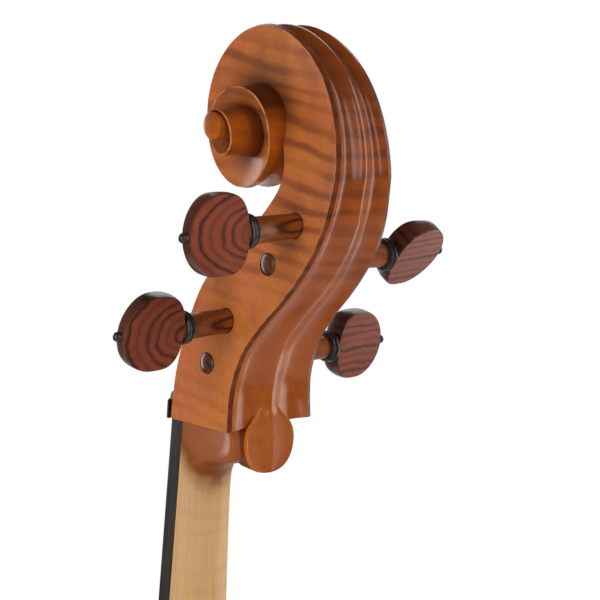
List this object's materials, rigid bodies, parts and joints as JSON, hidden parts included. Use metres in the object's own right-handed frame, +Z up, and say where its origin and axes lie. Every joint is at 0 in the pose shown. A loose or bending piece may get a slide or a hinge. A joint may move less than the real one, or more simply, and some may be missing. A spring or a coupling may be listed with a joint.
{
  "type": "cello",
  "caption": "Full-size cello: carved scroll and pegbox with turning pegs, arched sound box, bridge, tailpiece with fine tuners, and an endpin that slides out.",
  "frame": {"origin": "inside the neck just under the pegbox, where a wall hanger or a stand's yoke holds the instrument", "axes": "+Z up along the body, front towards -Y, treble side towards +X"},
  "size_m": [0.44, 0.2703, 1.3021],
  "materials": {
    "varnished_maple": "golden-brown oil varnish over flamed maple, bare on the neck's handle",
    "varnished_spruce": "golden-brown oil varnish over straight-grained spruce",
    "bare_spruce": "bare, as planed",
    "ebony": "oiled and rubbed",
    "rosewood": "polished, dark growth rings",
    "bridge_maple": "bare, lightly oiled",
    "string_steel": "flat-wound steel",
    "bright_steel": "polished",
    "cord": "braided black cord",
    "rubber": "moulded"
  },
  "bodies": {
    "root": {"neck_and_scroll": "varnished_maple", "nut": "ebony", "fingerboard": "ebony", "front": "varnished_spruce", "back": "varnished_maple", "rib_lower_bass": "varnished_maple", "rib_lower_treble": "varnished_maple", "rib_centre_bass": "varnished_maple", "rib_centre_treble": "varnished_maple", "rib_upper_bass": "varnished_maple", "rib_upper_treble": "varnished_maple", "linings_front": "bare_spruce", "linings_back": "bare_spruce", "block_lower": "bare_spruce", "block_upper": "bare_spruce", "corner_block_lower_bass": "bare_spruce", "corner_block_lower_treble": "bare_spruce", "corner_block_upper_bass": "bare_spruce", "corner_block_upper_treble": "bare_spruce", "bass_bar": "bare_spruce", "sound_post": "bare_spruce", "bridge": "bridge_maple", "tailpiece": "ebony", "saddle": "ebony", "tail_cord": "cord", "endpin_plug": "ebony", "string_c": "string_steel", "string_g": "string_steel", "string_d": "string_steel", "string_a": "string_steel"},
    "peg_c": {"peg_c": "rosewood", "peg_collar_c": "ebony", "peg_pip_c": "ebony", "winding_c": "string_steel"},
    "peg_g": {"peg_g": "rosewood", "peg_collar_g": "ebony", "peg_pip_g": "ebony", "winding_g": "string_steel"},
    "peg_d": {"peg_d": "rosewood", "peg_collar_d": "ebony", "peg_pip_d": "ebony", "winding_d": "string_steel"},
    "peg_a": {"peg_a": "rosewood", "peg_collar_a": "ebony", "peg_pip_a": "ebony", "winding_a": "string_steel"},
    "tuner_screw_c": {"tuner_screw_c": "bright_steel"},
    "tuner_lever_c": {"tuner_lever_c": "bright_steel"},
    "tuner_screw_g": {"tuner_screw_g": "bright_steel"},
    "tuner_lever_g": {"tuner_lever_g": "bright_steel"},
    "tuner_screw_d": {"tuner_screw_d": "bright_steel"},
    "tuner_lever_d": {"tuner_lever_d": "bright_steel"},
    "tuner_screw_a": {"tuner_screw_a": "bright_steel"},
    "tuner_lever_a": {"tuner_lever_a": "bright_steel"},
    "endpin": {"endpin_rod": "bright_steel", "endpin_tip": "rubber"},
    "thumbscrew": {"endpin_thumbscrew": "bright_steel"}
  },
  "joints": [
    {"name": "peg_c_turn", "type": "hinge", "parent": "root", "child": "peg_c", "pos_m": [0, 0.03511, 0.06051], "axis": [-0.9992, 0.0394, -0.0068], "continuous": true},
    {"name": "peg_g_turn", "type": "hinge", "parent": "root", "child": "peg_g", "pos_m": [0, 0.08042, 0.11073], "axis": [-0.9988, 0.0492, -0.0085], "continuous": true},
    {"name": "peg_d_turn", "type": "hinge", "parent": "root", "child": "peg_d", "pos_m": [0, 0.09524, 0.12958], "axis": [0.995, 0.0981, -0.0169], "continuous": true},
    {"name": "peg_a_turn", "type": "hinge", "parent": "root", "child": "peg_a", "pos_m": [0, 0.04741, 0.08294], "axis": [0.999, 0.0443, -0.0077], "continuous": true},
    {"name": "tuner_screw_c_turn", "type": "hinge", "parent": "root", "child": "tuner_screw_c", "pos_m": [-0.0204, -0.0939, -0.78834], "axis": [0, 0.9689, 0.2474], "range_deg": [0, 720]},
    {"name": "tuner_lever_c_rock", "type": "hinge", "parent": "root", "child": "tuner_lever_c", "pos_m": [-0.0204, -0.09446, -0.77197], "axis": [1, 0, 0], "range_deg": [0, 5]},
    {"name": "tuner_screw_g_turn", "type": "hinge", "parent": "root", "child": "tuner_screw_g", "pos_m": [-0.0068, -0.0939, -0.78834], "axis": [0, 0.9689, 0.2474], "range_deg": [0, 720]},
    {"name": "tuner_lever_g_rock", "type": "hinge", "parent": "root", "child": "tuner_lever_g", "pos_m": [-0.0068, -0.09446, -0.77197], "axis": [1, 0, 0], "range_deg": [0, 5]},
    {"name": "tuner_screw_d_turn", "type": "hinge", "parent": "root", "child": "tuner_screw_d", "pos_m": [0.0068, -0.0939, -0.78834], "axis": [0, 0.9689, 0.2474], "range_deg": [0, 720]},
    {"name": "tuner_lever_d_rock", "type": "hinge", "parent": "root", "child": "tuner_lever_d", "pos_m": [0.0068, -0.09446, -0.77197], "axis": [1, 0, 0], "range_deg": [0, 5]},
    {"name": "tuner_screw_a_turn", "type": "hinge", "parent": "root", "child": "tuner_screw_a", "pos_m": [0.0204, -0.0939, -0.78834], "axis": [0, 0.9689, 0.2474], "range_deg": [0, 720]},
    {"name": "tuner_lever_a_rock", "type": "hinge", "parent": "root", "child": "tuner_lever_a", "pos_m": [0.0204, -0.09446, -0.77197], "axis": [1, 0, 0], "range_deg": [0, 5]},
    {"name": "endpin_slide", "type": "slide", "parent": "root", "child": "endpin", "axis": [0, 0, -1], "range_m": [0, 0.38]},
    {"name": "thumbscrew_turn", "type": "hinge", "parent": "root", "child": "thumbscrew", "pos_m": [0, 0.03389, -1.01898], "axis": [0, 1, 0], "range_deg": [-720, 0]}
  ],
  "couplings": [
    {"joint": "tuner_lever_c_rock", "follows": "tuner_screw_c_turn", "ratio": 0.0069},
    {"joint": "tuner_lever_g_rock", "follows": "tuner_screw_g_turn", "ratio": 0.0069},
    {"joint": "tuner_lever_d_rock", "follows": "tuner_screw_d_turn", "ratio": 0.0069},
    {"joint": "tuner_lever_a_rock", "follows": "tuner_screw_a_turn", "ratio": 0.0069}
  ]
}
